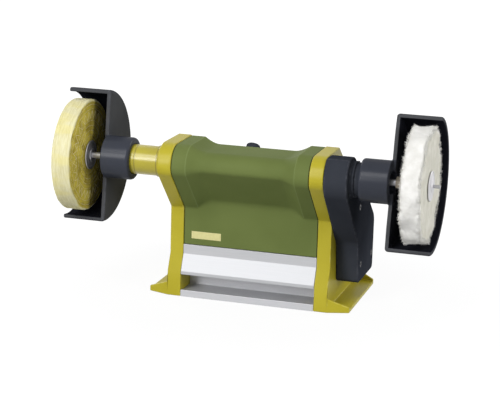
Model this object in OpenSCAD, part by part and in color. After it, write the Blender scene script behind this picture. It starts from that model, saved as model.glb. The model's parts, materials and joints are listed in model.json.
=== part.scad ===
// Small bench polishing machine with two buffing wheels.
// X runs along the spindle, -Y is the operator's side and Z is up.
// The origin is the middle of the base's footprint, at the level of the bench.

/* [Base] */
// Width of the body between the two end plates
body_w = 125; // [110:1:150]
// Depth of the base from front to back
base_depth = 112; // [108:1:130]
// Thickness of an end plate
plate_t = 12.5; // [10:0.5:16]
// How far the base spreads out below the waist, at front and back
foot_step = 6.6; // [5:0.2:8]
// Height of the foot's upright face
foot_rise = 23.8; // [22:0.2:26]
// Height where the slope above the foot ends
slope_top = 38.9; // [36:0.2:42]
// Height of the aluminium base profile
profile_h = 47.6; // [46:0.2:52]
// Wall of the aluminium base profile
profile_wall = 2.5; // [2:0.1:3]
// Depth of the open channel in the base profile
channel_depth = 27; // [20:0.5:28]
// Height of the channel's floor
channel_floor = 5; // [4.5:0.1:6]
// Height of the channel's ceiling
channel_top = 20.8; // [18:0.2:21]
// Height of the lip in front of the channel
channel_lip = 6.2; // [6.1:0.1:8]
// Depth of the relief under the base profile
base_relief = 2; // [1:0.1:2.5]

/* [Feet] */
// How far a foot reaches out from its end plate
foot_reach = 19; // [15:0.5:26]
// How much a foot narrows at front and back on that length
foot_taper = 6.5; // [3:0.1:8]
// Thickness of a foot's floor
foot_floor = 3; // [2.5:0.1:4]
// Thickness of a foot's rim
foot_rim = 2.6; // [2:0.1:4]
// Height of the rim beside the end plate
rim_high = 12.6; // [10:0.2:16]
// Height of the rim at the foot's outer end
rim_low = 5; // [4:0.2:8]

/* [Head] */
// Height of the spindle's axis
spindle_h = 126.5; // [124:0.5:132]
// How far the spindle lies in front of the base
overhang = 11; // [8:0.5:16]
// How far the head's nose reaches in front of the spindle
nose_reach = 22.5; // [22:0.5:24]
// Radius of the nose above the spindle
nose_top_r = 19; // [17:0.5:20]
// Radius of the nose below the spindle
nose_low_r = 12; // [10:0.5:14]
// Height where the head's underside meets the upright front
waist_top = 82; // [78:0.5:86]
// Length of the head's flat top behind the spindle
top_run = 36; // [32:0.5:40]
// Fall of the sloping back, in degrees
back_slope = 36; // [34:0.5:38]

/* [Housing] */
// Wall of the moulded housing
shell_wall = 2.5; // [2:0.1:3]
// How far the housing's end bells lie under the end plates' edge
bell_drop = 0.6; // [0.3:0.1:1.5]
// How far the middle of the head lies under the end plates' edge
barrel_drop = 6; // [4:0.5:7]
// Width of an end bell
bell_w = 13; // [8:0.5:18]
// Width of the flare from bell to barrel
flare_w = 14; // [8:0.5:18]
// How far in front of the top's rear edge the housing splits
seam_front = 4; // [3:0.5:6]
// Gap at the joints between casings
seam = 0.15; // [0.1:0.05:0.3]

/* [Necks and bearings] */
// Distance of a neck's end from its end plate
neck_len = 44; // [42:0.5:48]
// Diameter of the left neck
neck_d = 26.5; // [26:0.5:30]
// Diameter of the right neck, on the belt guard
guard_neck_d = 29.5; // [28:0.5:32]
// Diameter of the bore around the spindle
neck_bore = 18; // [14:0.5:19]
// Outside diameter of a spindle bearing
bearing_od = 22; // [20:0.5:22]
// Width of a spindle bearing
bearing_w = 6; // [5:0.5:8]
// Width of the ring that holds a bearing in its neck
keeper_w = 1.5; // [1:0.1:2.5]
// Clearance of a bearing or a pin in its seat, on the radius
seat_fit = 0.02; // [0.01:0.01:0.05]
// Running clearance of a shaft, on the radius
run_fit = 0.04; // [0.02:0.01:0.08]

/* [Spindle and wheels] */
// Diameter of the spindle
spindle_d = 10; // [8:0.5:12]
// Diameter of the threaded spindle ends
thread_d = 6; // [5:0.5:7]
// Diameter of a buffing wheel
wheel_d = 100; // [80:1:102]
// Thickness of a buffing wheel
wheel_w = 17; // [12:0.5:18]
// Distance of a wheel's inner face from its end plate
wheel_off = 71.5; // [70:0.5:74]
// Diameter of a clamping flange
flange_d = 26.4; // [22:0.2:32]
// Thickness of a clamping flange
flange_w = 2.6; // [2:0.1:4]
// Length of the hub between the right inner flange and its nut
hub_len = 4.6; // [3:0.2:6]
// Width of a spindle nut across its flats
nut_af = 10; // [9:0.5:13]
// Height of a spindle nut
nut_h = 5; // [3:0.5:6]
// Diameter of the spindle's bare tip
tip_d = 3; // [2:0.5:4]
// Length of the spindle's bare tip
tip_len = 6; // [4:0.5:8]

/* [Hoods] */
// Gap between a wheel's rim and the back of its hood
hood_gap = 5.9; // [3:0.1:8]
// How far a hood's open edge lies in front of the spindle
hood_edge = 2; // [0:0.5:6]
// Wall of a hood
hood_wall = 3.6; // [3:0.1:4.5]
// Distance of a hood's inner face from its end plate
hood_off = 54.2; // [53:0.2:58]
// Width of a hood's rim along the spindle
hood_w = 39.6; // [36:0.2:44]
// Backward tilt of the left hood at rest, in degrees
left_tilt = 7; // [0:0.5:20]
// Backward tilt of the right hood at rest, in degrees
right_tilt = 13; // [0:0.5:20]
// Diameter of a hood's collar
collar_d = 38; // [36:0.5:42]
// Distance of a collar's end from its end plate
collar_off = 29; // [28:0.5:32]
// Clearance of a hood's collar on its neck, on the radius
collar_fit = 0.08; // [0.03:0.01:0.1]
// Diameter of a hood's clamping screw
clamp_d = 4; // [3:0.5:5]

/* [Belt drive] */
// Diameter of the spindle's pulley
pulley_d = 22; // [20:0.5:24]
// Diameter of the motor's pulley
motor_pulley_d = 16; // [14:0.5:18]
// Width of the belt
belt_w = 8; // [6:0.5:9]
// Thickness of the belt
belt_t = 1.8; // [1.2:0.1:2.2]
// Clearance between the belt and a pulley
belt_gap = 0.2; // [0.1:0.05:0.4]
// Outer width of the belt guard
guard_w = 21; // [20:0.5:24]
// Wall of the belt guard
guard_wall = 2.5; // [2:0.1:3]
// Radius of the guard's nose round the spindle
guard_nose_r = 23; // [22.5:0.5:24]
// Half of the guard's depth at its foot
guard_half = 29; // [27:0.5:32]
// Height of the guard's lower edge
guard_bottom = 21.4; // [20:0.2:25]

/* [Motor] */
// Height of the motor's axis
motor_h = 60; // [58:0.5:62]
// How far the motor's axis lies behind the middle of the base
motor_y = 4; // [2:0.5:6]
// Diameter of the motor's can
motor_d = 52; // [46:0.5:53]
// Wall of the motor's can
can_wall = 2; // [1.5:0.1:2.5]
// Room between the motor's shaft and the left end plate, for the speed control
end_room = 28.35; // [26:0.05:40]
// Length of the cap on the motor's drive end
front_cap_len = 10; // [9:0.5:13]
// Length of the cap on the motor's brush end
rear_cap_len = 10; // [9:0.5:13]
// Diameter of the motor's shaft
motor_shaft_d = 6; // [5:0.5:7]
// Gap between the armature and the field magnets
air_gap = 0.9; // [0.5:0.1:1.5]
// Thickness of a field magnet
magnet_t = 4.6; // [3:0.1:5]
// Outside diameter of a motor bearing
motor_bearing_od = 15; // [13:0.5:16]
// Width of a motor bearing
motor_bearing_w = 5; // [4:0.5:6]

/* [Controls] */
// Place of the speed knob left of the middle
knob_x = 10.5; // [9:0.5:14]
// Distance of the knob down the sloping back
knob_down = 21; // [18:0.5:26]
// Largest diameter of the speed knob
knob_d = 14.5; // [14:0.5:17]
// Height of the speed knob
knob_h = 10.5; // [9.5:0.5:15]
// Place of the rocker switch right of the middle
rocker_x = 11; // [10:0.5:14]
// Distance of the switch down the sloping back
rocker_down = 17; // [16:0.5:22]
// Width of the rocker
rocker_w = 12; // [9:0.2:12.6]
// Length of the rocker
rocker_len = 17; // [15:0.5:19]
// Throw of the rocker between off and on, in degrees
rocker_throw = 18; // [12:1:22]

/* [Hidden] */
$fn = 64;

// Places that follow from the sizes above
x_in = body_w / 2;
x_out = x_in + plate_t;
y_front = -base_depth / 2;
y_back = base_depth / 2;
y_waist = y_front + foot_step;
y_rear = y_back - foot_step;
spindle_y = y_front - overhang;
top_lift = nose_top_r;
head_top = spindle_h + top_lift;
y_top_back = spindle_y + top_run;
nose_top_c = [spindle_y - nose_reach + nose_top_r, spindle_h];
nose_low_c = [spindle_y - nose_reach + nose_low_r, spindle_h];
waist_corner = [y_waist, waist_top];
back_dir = [cos(back_slope), -sin(back_slope)];
back_normal = [sin(back_slope), cos(back_slope)];
corner_r = 3;
eps = 0.5;
beyond = 400;
loose = 0.3;
neck_x = x_out + neck_len;
bearing_x = neck_x - keeper_w - bearing_w;
wheel_x = x_out + wheel_off;
hood_x = x_out + hood_off;
hood_r = wheel_d / 2 + hood_gap + hood_wall;
collar_x = x_out + collar_off;
guard_x = x_out + guard_w;

// Screws and the rods that tie the end plates together
screw_d = 4;
screw_head_d = 7;
screw_head_h = 4;
screw_side = 0.2;
boss_r = 4.6;
boss_in = 7;
boss_rise = 7.7;
web_t = 2;
web_out = 3.5;
profile_screw_y = base_depth / 2 - channel_depth - boss_in;
profile_screw_z = channel_top + boss_rise;
profile_screw_len = 18;
relief_rim = 4;
rod_d = 5;
rod_tap_d = 3;
rod_tap_len = 8;
rod_in = 11.4;
rod_under = 9;
rods = [[y_waist + 6, spindle_h + 2],
        [y_rear - rod_in, back_z(y_rear - rod_in, barrel_drop + shell_wall) - rod_under]];

// Belt drive
pulley_edge = 1;
pulley_side = 1;
pulley_room = 2;
belt_x = guard_x - guard_wall - pulley_room - pulley_edge - pulley_side - belt_w;

// Motor, from its shaft's rear end to its front cap
fan_gap = 2.5;
fan_w = 5;
shaft_tail = 1;
can_x0 = -x_in + end_room + shaft_tail + fan_w + fan_gap + rear_cap_len;
can_x1 = x_in - seam - front_cap_len;
cap_hollow = 3;
cap_rim = 2;
motor_screw_y = motor_d / 2 - 7;
motor_screw_in = 6;
rotor_d = motor_d - 2 * (can_wall + magnet_t + air_gap);
commutator_d = 15;

// Speed control and the panel on the sloping back
board_x = -x_in + 6;
board_t = 1.6;
board_size = [48, 34];
board_under = 6.6;
board_y0 = -28;
board_z0 = back_z(board_y0 + board_size.x, bell_drop + shell_wall) - board_size.y - board_under;
board_screw_d = 2.5;
panel_origin = offset_top_back(barrel_drop);
pot_bush_d = 7;
pot_shaft_d = 4;
gland_z = profile_h + 12.4;
gland_in = 24.5;
gland_x = -x_in + gland_in;
gland_bore = 7;
gland_d = 12;

function arc(c, r, a0, a1, n = 8) =
    [for (i = [0:n]) let (a = a0 + (a1 - a0) * i / n) c + r * [cos(a), sin(a)]];
function unit(v) = v / norm(v);
function turn(a) = a > 180 ? a - 360 : a < -180 ? a + 360 : a;

// Points of a fillet of radius r at corner b, between the sides towards a and c
function fillet(a, b, c, r, n = 5) =
    let (u = unit(a - b), w = unit(c - b),
         half = acos(u * w) / 2,
         m = b + unit(u + w) * (r / sin(half)),
         p = b + u * (r / tan(half)),
         q = b + w * (r / tan(half)),
         a0 = atan2(p.y - m.y, p.x - m.x),
         d = turn(atan2(q.y - m.y, q.x - m.x) - a0))
    arc(m, r, a0, a0 + d, n);

// The head's underside is a tangent from the waist to the lower nose arc
waist_from_nose = waist_corner - nose_low_c;
underside_a = atan2(waist_from_nose.y, waist_from_nose.x)
              - acos(nose_low_r / norm(waist_from_nose)) + 360;
underside_n = [cos(underside_a), sin(underside_a)];
underside_d = underside_n * nose_low_c + nose_low_r;

function underside_z(y, k) = (underside_d - k - underside_n.x * y) / underside_n.y;
function back_z(y, k) = head_top - k / back_normal.y - (y - y_top_back) * tan(back_slope);
function offset_top_back(k) =
    [y_top_back + (k - k / back_normal.y) / tan(back_slope), head_top - k];

// Upper outline of the body seen from the side, from the waist over the nose to the back.
// k is how far the head lies inside the end plate's edge, w how far the uprights do.
function head_outline(k, w, z_low) =
    let (yw = y_waist + w, yr = y_rear - w,
         c = [yw, underside_z(yw, k)],
         e = nose_low_c + (nose_low_r - k) * underside_n,
         t = nose_top_c + [0, nose_top_r - k],
         b = offset_top_back(k),
         r = [yr, back_z(yr, k)])
    concat([[yw, z_low]],
           fillet([yw, z_low], c, e, corner_r + k + w),
           arc(nose_low_c, nose_low_r - k, underside_a, 180),
           arc(nose_top_c, nose_top_r - k, 172, 90),
           fillet(t, b, r, corner_r),
           fillet(b, r, [yr, z_low], corner_r),
           [[yr, z_low]]);

plate_outline = concat(
    [[y_front, 0], [y_front, foot_rise]],
    head_outline(0, 0, slope_top),
    [[y_back, foot_rise], [y_back, 0]]);

// Extrudes an outline drawn in Y and Z along X
module along_x(x0, x1) {
    translate([x0, 0, 0]) rotate([90, 0, 90]) linear_extrude(x1 - x0) children();
}

module rod_x(r, x0, x1, y = spindle_y, z = spindle_h) {
    translate([x0, y, z]) rotate([0, 90, 0]) cylinder(r = r, h = x1 - x0);
}

module cone_x(r0, r1, x0, x1, y = spindle_y, z = spindle_h) {
    translate([x0, y, z]) rotate([0, 90, 0]) cylinder(r1 = r0, r2 = r1, h = x1 - x0);
}

module ring_x(r_out, r_in, x0, x1, y = spindle_y, z = spindle_h) {
    difference() {
        rod_x(r_out, x0, x1, y, z);
        rod_x(r_in, x0 - eps, x1 + eps, y, z);
    }
}

// Socket screw along X whose head's outer face is at x, with its shank towards -X
module screw_x(x, y, z, d, len, head_d, head_h) {
    difference() {
        union() {
            rod_x(head_d / 2, x - head_h, x, y, z);
            rod_x(d / 2, x - head_h - len, x - head_h + 0.01, y, z);
        }
        translate([x - head_h / 2, y, z]) rotate([0, 90, 0]) cylinder(d = d * 0.8, h = head_h, $fn = 6);
    }
}

module screw_hole_x(x, y, z, d, len, head_d, head_h) {
    rod_x(head_d / 2 + loose / 2, x - head_h, x + 40, y, z);
    rod_x(d / 2 + seat_fit, x - head_h - len - loose, x, y, z);
}

module mirror_x(side) {
    mirror([side < 0 ? 1 : 0, 0, 0]) children();
}

// Frame on the sloping back: Z leaves the panel, X runs along the spindle
module on_panel(x, down, out = 0) {
    translate([x, panel_origin.x + down * back_dir.x, panel_origin.y + down * back_dir.y])
        rotate([-back_slope, 0, 0]) translate([0, 0, out]) children();
}

// Base profile
function profile_half(s) = [
    [s * y_waist, profile_h], [s * y_waist, slope_top], [s * y_front, foot_rise],
    [s * y_front, channel_top], [s * (y_front + channel_depth), channel_top],
    [s * (y_front + channel_depth), channel_floor], [s * (y_front + profile_wall), channel_floor],
    [s * (y_front + profile_wall), channel_lip], [s * y_front, channel_lip], [s * y_front, 0]];

function profile_inside(s) =
    let (w = profile_wall, n = unit([slope_top - foot_rise, -foot_step]) * w,
         c = channel_top + w, steep = foot_step / (slope_top - foot_rise))
    [[s * (y_waist + w), profile_h + 1], [s * (y_waist + w), slope_top - slope_in],
     [s * (y_front + n.x + (c - foot_rise - n.y) * steep), c],
     [s * (y_front + channel_depth + w), c], [s * (y_front + channel_depth + w), w]];

slope_in = 1;
relief_end = 1;
relief_w = channel_depth - relief_rim - relief_end;
function reversed(list) = [for (i = [len(list) - 1:-1:0]) list[i]];

module base_profile() {
    color("gainsboro") difference() {
        union() {
            difference() {
                along_x(-x_in + seam, x_in - seam)
                    polygon(concat(profile_half(1), reversed(profile_half(-1))));
                along_x(-x_in - 1, x_in + 1)
                    polygon(concat(profile_inside(1), reversed(profile_inside(-1))));
            }
            for (s = [-1, 1]) {
                rod_x(boss_r, -x_in + seam, x_in - seam, s * profile_screw_y, profile_screw_z);
                along_x(-x_in + seam, x_in - seam)
                    translate([s * (profile_screw_y + web_out) - web_t / 2, channel_top + 1])
                    square([web_t, boss_rise]);
            }
        }
        for (s = [-1, 1]) {
            rod_x(screw_d / 2 + seat_fit, -x_in - 1, x_in + 1, s * profile_screw_y, profile_screw_z);
            along_x(-x_in - 1, x_in + 1)
                translate([s < 0 ? y_front + relief_rim : y_back - relief_rim - relief_w, -1])
                square([relief_w, base_relief + 1]);
        }
    }
}

// End plates with their feet. Side 1 is the right one.
module foot_tray(side) mirror_x(side) {
    tip = x_out + foot_reach;
    plan = [[x_out, y_front], [tip, y_front + foot_taper], [tip, y_back - foot_taper], [x_out, y_back]];
    linear_extrude(foot_floor) polygon(plan);
    for (s = [-1, 1]) intersection() {
        linear_extrude(rim_high) polygon([
            [x_out - 0.01, s * y_back], [tip, s * (y_back - foot_taper)],
            [tip, s * (y_back - foot_taper - foot_rim)], [x_out - 0.01, s * (y_back - foot_rim)]]);
        translate([0, y_back, 0]) rotate([90, 0, 0]) linear_extrude(base_depth)
            polygon([[x_out - 0.01, 0], [tip, 0], [tip, rim_low], [x_out - 0.01, rim_high]]);
    }
}

module plate_blank(side) mirror_x(side) {
    along_x(x_in, x_out) polygon(plate_outline);
}

module plate_holes(side) mirror_x(side) {
    for (s = [-1, 1])
        screw_hole_x(x_out, s * profile_screw_y, profile_screw_z, screw_d, plate_t, screw_head_d, screw_head_h);
    for (p = rods)
        screw_hole_x(x_out, p.x, p.y, screw_d, plate_t, screw_head_d, screw_head_h);
}

neck_step = 0.8;
neck_step_w = 5.5;

module left_end_plate() {
    color("darkkhaki") {
        difference() {
            union() {
                plate_blank(-1);
                foot_tray(-1);
                rod_x(neck_d / 2, -neck_x, -x_out);
                rod_x(neck_d / 2 + neck_step, -x_out - neck_step_w, -x_out);
                board_posts();
            }
            plate_holes(-1);
            rod_x(bearing_od / 2 + seat_fit, -neck_x - 1, -bearing_x);
            rod_x(neck_bore / 2, -bearing_x - 1, -x_in + 1);
            for (p = board_holes)
                rod_x(board_screw_d / 2 + seat_fit, board_x - board_screw_in - eps, board_x + 1, p.x, p.y);
        }
    }
}

module right_end_plate() {
    color("darkkhaki") difference() {
        union() {
            plate_blank(1);
            foot_tray(1);
        }
        plate_holes(1);
        rod_x(neck_bore / 2, x_in - 1, x_out + 1);
        rod_x(motor_pulley_d / 2 + belt_t + pulley_room, x_in - 1, x_out + 1, motor_y, motor_h);
        for (s = [-1, 1])
            screw_hole_x(x_out, motor_y + s * motor_screw_y, motor_h, screw_d, plate_t, screw_head_d, screw_head_h);
        for (p = guard_screw_places)
            rod_x(guard_screw_d / 2 + seat_fit, x_out - guard_screw_in - eps, x_out + 1, p.x, p.y);
    }
}

module plate_screws() {
    color("dimgray") for (side = [-1, 1]) mirror_x(side) for (s = [-1, 1])
        screw_x(x_out, s * profile_screw_y, profile_screw_z, screw_d,
                profile_screw_len, screw_head_d - 2 * screw_side, screw_head_h);
}

module tie_rods() {
    color("silver") for (p = rods) difference() {
        rod_x(rod_d / 2, -x_in + seam, x_in - seam, p.x, p.y);
        for (s = [-1, 1])
            rod_x(rod_tap_d / 2 + seat_fit, s * x_in - rod_tap_len - 1, s * x_in + rod_tap_len + 1, p.x, p.y);
    }
}

module tie_rod_screws() {
    color("dimgray") for (side = [-1, 1]) mirror_x(side) for (p = rods) union() {
        screw_x(x_out, p.x, p.y, screw_d, plate_t - screw_head_h, screw_head_d - 2 * screw_side, screw_head_h);
        rod_x(rod_tap_d / 2, x_in - rod_tap_len, x_in + 1, p.x, p.y);
    }
}

// Moulded housing: the side outline is carried along X, and its head shrinks to the barrel
flare_steps = 6;
function ease(t) = 1 - pow(1 - t, 1.7);
flare = [for (i = [0:flare_steps]) i / flare_steps];
half_stations = [for (t = flare) [x_in - seam - bell_w - flare_w * t,
                                  bell_drop + (barrel_drop - bell_drop) * ease(t)]];
stations = concat(
    [[-x_in + seam, bell_drop]], [for (s = half_stations) [-s.x, s.y]],
    reversed(half_stations), [[x_in - seam, bell_drop]]);

module loft(list, add, w, z_low, x_add) {
    n = len(head_outline(bell_drop + w, w, z_low));
    m = len(list);
    rows = [for (s = list) let (o = head_outline(s.y + add, w, z_low))
            [for (p = o) [s.x + sign(s.x) * (abs(s.x) > x_in - 1 ? x_add : 0), p.x, p.y]]];
    points = [for (row = rows) each row];
    sides = [for (i = [0:m - 2], j = [0:n - 1]) let (k = (j + 1) % n)
             [i * n + j, i * n + k, (i + 1) * n + k, (i + 1) * n + j]];
    first = [for (j = [n - 1:-1:0]) j];
    last = [for (j = [0:n - 1]) (m - 1) * n + j];
    polyhedron(points = points, faces = concat([first], sides, [last]), convexity = 6);
}

module housing_body() {
    difference() {
        loft(stations, 0, bell_drop, profile_h + seam, 0);
        loft(stations, shell_wall, bell_drop + shell_wall, profile_h - 5, 5);
    }
}

module seam_half(front) {
    y0 = front ? -beyond : y_top_back - seam_front + seam;
    y1 = front ? y_top_back - seam_front : beyond;
    translate([-beyond, y0, -beyond]) cube([2 * beyond, y1 - y0, 2 * beyond]);
}

badge = [27.8, 6.8, 0.5];
badge_in = 7.4;
badge_up = 9.4;
badge_c = [-x_in + badge_in + badge.x / 2, profile_h + badge_up];

module housing_shell() {
    color("olivedrab") difference() {
        intersection() {
            housing_body();
            seam_half(true);
        }
        translate([badge_c.x - badge.x / 2 - 0.1, y_waist - 5, badge_c.y - badge.y / 2 - 0.1])
            cube([badge.x + 0.2, 5 + bell_drop + badge.z, badge.y + 0.2]);
    }
}

module rear_cover() {
    color("olivedrab") difference() {
        intersection() {
            housing_body();
            seam_half(false);
        }
        on_panel(-knob_x, knob_down, -shell_wall - 1)
            cylinder(d = pot_bush_d + 2 * loose, h = shell_wall + 2);
        on_panel(rocker_x, rocker_down, -shell_wall - 1)
            translate([-switch_w / 2 - loose / 2, -switch_len / 2 - loose / 2, 0])
            cube([switch_w + loose, switch_len + loose, shell_wall + 2]);
        translate([gland_x, y_rear + 1, gland_z]) rotate([90, 0, 0])
            cylinder(d = gland_d + 2 * loose, h = shell_wall + bell_drop + 2);
    }
}

module blank_badge() {
    color("khaki")
        translate([badge_c.x - badge.x / 2, y_waist + bell_drop, badge_c.y - badge.y / 2])
        cube([badge.x, badge.z - 0.05, badge.y]);
}

// Belt guard, a pear-shaped cover on the right plate
function guard_outline(w) =
    let (c = [spindle_y, spindle_h], r = guard_nose_r - w,
         foot = [guard_front_y + w, guard_bottom + w],
         top = top_lift - w,
         waist = [guard_waist_y + w, belt_front_z(guard_waist_y) - guard_under - 0.5 * w],
         v = waist - c,
         a = atan2(v.y, v.x) - acos(r / norm(v)) + 360,
         shoulder = [guard_rear_y - w, motor_h + guard_over - 0.4 * w],
         u = shoulder - c,
         b = atan2(u.y, u.x) + acos(top / norm(u)),
         flat = asin(top / r))
    concat(fillet([guard_rear_y, foot.y], foot, waist, guard_foot_r - w / 2),
           fillet(foot, waist, c + r * [cos(a), sin(a)], guard_waist_r + w),
           arc(c, r, a, 180 - flat, 16),
           arc(c, top, 90, b, 6),
           fillet(c + top * [cos(b), sin(b)], shoulder, [shoulder.x, foot.y], guard_shoulder_r - w),
           fillet(shoulder, [shoulder.x, foot.y], foot, guard_foot_r - w / 2));

guard_foot_r = 5;
guard_waist_r = 12;
guard_shoulder_r = 12;
guard_over = 12;
guard_under = 19.1;
guard_shift = 2.2;
guard_front_y = guard_shift - guard_half;
guard_rear_y = guard_shift + guard_half;
guard_waist_y = y_waist + 16.9;
guard_screw_d = 3;
guard_screw_in = 8;
guard_head_d = 5.6;
guard_head_h = 2.5;
guard_boss_r = 3.6;
guard_step = 1.2;
guard_step_w = 4;
guard_screw_side = 7;
guard_screw_rise = 16.5;
guard_screw_places = [[(spindle_y + motor_y) / 2, (spindle_h + motor_h) / 2],
                      [guard_front_y + guard_screw_side, guard_bottom + guard_screw_rise],
                      [guard_rear_y - guard_screw_side - 1, guard_bottom + guard_screw_rise]];

module belt_guard() {
    color("darkslategray") difference() {
        union() {
            difference() {
                along_x(x_out + seam, guard_x) polygon(guard_outline(0));
                along_x(x_out - 1, guard_x - guard_wall) polygon(guard_outline(guard_wall));
            }
            rod_x(guard_neck_d / 2, guard_x - guard_wall, neck_x);
            rod_x(guard_neck_d / 2 + guard_step, guard_x - 0.01, guard_x + guard_step_w);
            for (p = guard_screw_places) rod_x(guard_boss_r, x_out + seam, guard_x - 0.01, p.x, p.y);
        }
        rod_x(neck_bore / 2, x_out, neck_x);
        rod_x(bearing_od / 2 + seat_fit, bearing_x, neck_x + 1);
        for (p = guard_screw_places) {
            rod_x(guard_screw_d / 2 + seat_fit, x_out - 1, guard_x + 1, p.x, p.y);
            rod_x(guard_head_d / 2 + loose / 3, guard_x - guard_head_h, guard_x + 1, p.x, p.y);
        }
    }
}

module guard_screws() {
    color("dimgray") for (p = guard_screw_places)
        screw_x(guard_x, p.x, p.y, guard_screw_d, guard_w + guard_screw_in - guard_head_h,
                guard_head_d, guard_head_h);
}

// Hoods: a D-shaped pan with a collar that turns on the neck
function hood_outline(w) =
    let (r = hood_r - w, e = -hood_edge + (w > 0 ? -eps : 0), a = acos(e / r))
    concat(fillet([e, 0], r * [cos(a), sin(a)], r * [cos(a - 8), sin(a - 8)], hood_corner_r),
           arc([0, 0], r, a - 8, 8 - a, 40),
           fillet(r * [cos(a - 8), -sin(a - 8)], r * [cos(a), -sin(a)], [e, 0], hood_corner_r));

hood_corner_r = 2.2;
hood_hole_side = 6.5;
collar_edge = 1.5;

module at_spindle(tilt = 0) {
    translate([0, spindle_y, spindle_h]) rotate([-tilt, 0, 0]) children();
}

module hood(side, neck, tilt) mirror_x(side) {
    bore = neck / 2 + collar_fit;
    x_end = neck_x + loose;
    difference() {
        union() {
            at_spindle(tilt) difference() {
                along_x(hood_x, hood_x + hood_w) polygon(hood_outline(0));
                along_x(hood_x + hood_wall, hood_x + hood_w + 1)
                    polygon([for (p = hood_outline(hood_wall)) [p.x < 0 ? p.x - 20 : p.x, p.y]]);
            }
            rod_x(collar_d / 2, collar_x + collar_edge, hood_x + 1);
            cone_x(collar_d / 2 - 0.8 * collar_edge, collar_d / 2, collar_x, collar_x + collar_edge);
        }
        rod_x(bore, collar_x - 1, x_end);
        rod_x(thread_d / 2 + hood_hole_side, collar_x - 1, hood_x + hood_w);
        at_spindle(tilt) translate([clamp_x, 0, 0]) rotate([-90, 0, 0])
            cylinder(r = clamp_d / 2 + seat_fit, h = collar_d);
    }
}

clamp_x = collar_x + 6;

clamp_proud = 1.5;

module hood_clamp(side, neck, tilt) mirror_x(side) {
    r0 = neck / 2 + collar_fit + 0.1;
    at_spindle(tilt) translate([clamp_x, r0, 0]) rotate([-90, 0, 0]) difference() {
        cylinder(d = clamp_d, h = collar_d / 2 + clamp_proud - r0);
        translate([0, 0, collar_d / 2 - r0 - 0.5]) cylinder(d = clamp_d * 0.55, h = 5, $fn = 6);
    }
}

module left_hood() { color("dimgray") hood(-1, neck_d, left_tilt); }
module right_hood() { color("dimgray") hood(1, guard_neck_d, right_tilt); }
module left_hood_clamp() { color("black") hood_clamp(-1, neck_d, left_tilt); }
module right_hood_clamp() { color("black") hood_clamp(1, guard_neck_d, right_tilt); }

// Spindle with its bearings
spindle_core = neck_x + 1.5;
keeper_t = 3;
thread_x = wheel_x + wheel_w + flange_w;

module spindle() {
    color("silver") {
        rod_x(spindle_d / 2, -spindle_core, spindle_core);
        rod_x(thread_d / 2, -thread_x - nut_h - 1, thread_x);
        rod_x(tip_d / 2, thread_x - 1, thread_x + tip_len);
    }
}

module spindle_bearing(side) mirror_x(side)
    ring_x(bearing_od / 2, spindle_d / 2 + run_fit, bearing_x, bearing_x + bearing_w);
module bearing_keeper(side) mirror_x(side)
    ring_x(bearing_od / 2, bearing_od / 2 - keeper_t, bearing_x + bearing_w, neck_x);
module left_spindle_bearing() { color("lightsteelblue") spindle_bearing(-1); }
module right_spindle_bearing() { color("lightsteelblue") spindle_bearing(1); }
module left_bearing_keeper() { color("gray") bearing_keeper(-1); }
module right_bearing_keeper() { color("gray") bearing_keeper(1); }

// Buffing wheels, their flanges and nuts
module wheel(side, soft) mirror_x(side) {
    r = wheel_d / 2;
    w = wheel_w / 2;
    bore = thread_d / 2 + seat_fit;
    section = concat([[bore, -w]], fillet([bore, -w], [r, -w], [r, w], soft),
                     fillet([r, -w], [r, w], [bore, w], soft), [[bore, w]]);
    translate([wheel_x + w, spindle_y, spindle_h]) rotate([0, 90, 0])
        rotate_extrude($fn = 96) polygon(section);
}

flange_rim = 0.8;
flange_hub_r = 7;
hub_r = thread_d / 2 + 1.6;
hub_in = 0.5;

module flange(side, x, out) mirror_x(side) {
    bore = thread_d / 2 + seat_fit;
    r = flange_d / 2;
    translate([x, spindle_y, spindle_h]) rotate([0, 90 * out, 0]) rotate_extrude()
        polygon(concat([[bore, 0], [r, 0], [r, flange_rim]],
                       [for (i = [1:5]) [r - 1 - (r - flange_hub_r) * i / 5,
                                         flange_rim + (flange_w - flange_rim) * sin(18 * i)]],
                       [[bore, flange_w]]));
}

module hex_nut(side, x) mirror_x(side)
    translate([x, spindle_y, spindle_h]) rotate([0, 90, 0]) difference() {
        cylinder(d = nut_af / cos(30), h = nut_h, $fn = 6);
        translate([0, 0, -1]) cylinder(r = thread_d / 2 + seat_fit, h = nut_h + 2);
    }

module left_buff_wheel() { color("khaki") wheel(-1, 2); }
module right_buff_wheel() { color("ivory") wheel(1, 3.5); }
module left_inner_flange() { color("lightgray") flange(-1, wheel_x, -1); }
module left_outer_flange() { color("lightgray") flange(-1, wheel_x + wheel_w, 1); }
module right_inner_flange() {
    color("lightgray") {
        flange(1, wheel_x, -1);
        ring_x(hub_r, thread_d / 2 + seat_fit, wheel_x - flange_w - hub_len, wheel_x - flange_w + hub_in);
    }
}
module right_outer_flange() { color("lightgray") flange(1, wheel_x + wheel_w, 1); }
module left_outer_nut() { color("silver") hex_nut(-1, thread_x); }
module right_inner_nut() { color("silver") hex_nut(1, wheel_x - flange_w - hub_len - nut_h); }

// Belt drive
module pulley(r, bore, y, z) {
    difference() {
        union() {
            rod_x(r, belt_x, belt_x + belt_w + pulley_side, y, z);
            for (x = [belt_x - pulley_edge, belt_x + belt_w + pulley_side])
                rod_x(r + belt_t, x, x + pulley_edge, y, z);
        }
        rod_x(bore, belt_x - 5, belt_x + belt_w + 5, y, z);
    }
}

module spindle_pulley() { color("slategray") pulley(pulley_d / 2, spindle_d / 2 + seat_fit, spindle_y, spindle_h); }
module motor_pulley() { color("slategray") pulley(motor_pulley_d / 2, motor_shaft_d / 2 + seat_fit, motor_y, motor_h); }

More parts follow.
